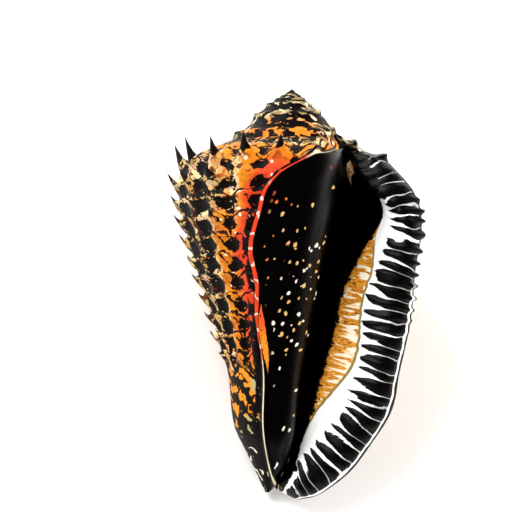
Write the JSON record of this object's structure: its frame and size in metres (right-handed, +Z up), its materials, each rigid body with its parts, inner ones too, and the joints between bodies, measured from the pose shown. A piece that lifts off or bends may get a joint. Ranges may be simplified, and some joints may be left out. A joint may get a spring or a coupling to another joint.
{
  "type": "cone shell",
  "caption": "Cone-shaped sea snail shell with a stepped spire, rows of upturned spines, a smooth inner lip over a deep throat and a flared, cross-ribbed outer lip; for display.",
  "frame": {"origin": "centre of the bounding box, at the ground the shell lies on", "axes": "+Z up, the way the opening faces; +Y from the canal's tip towards the apex along the ground; +X towards the flared outer lip"},
  "size_m": [0.0724, 0.1118, 0.0698],
  "materials": {
    "shell": "ribbed aragonite with a glazed inner lip"
  },
  "bodies": {
    "root": {"shell": "shell"}
  },
  "joints": []
}
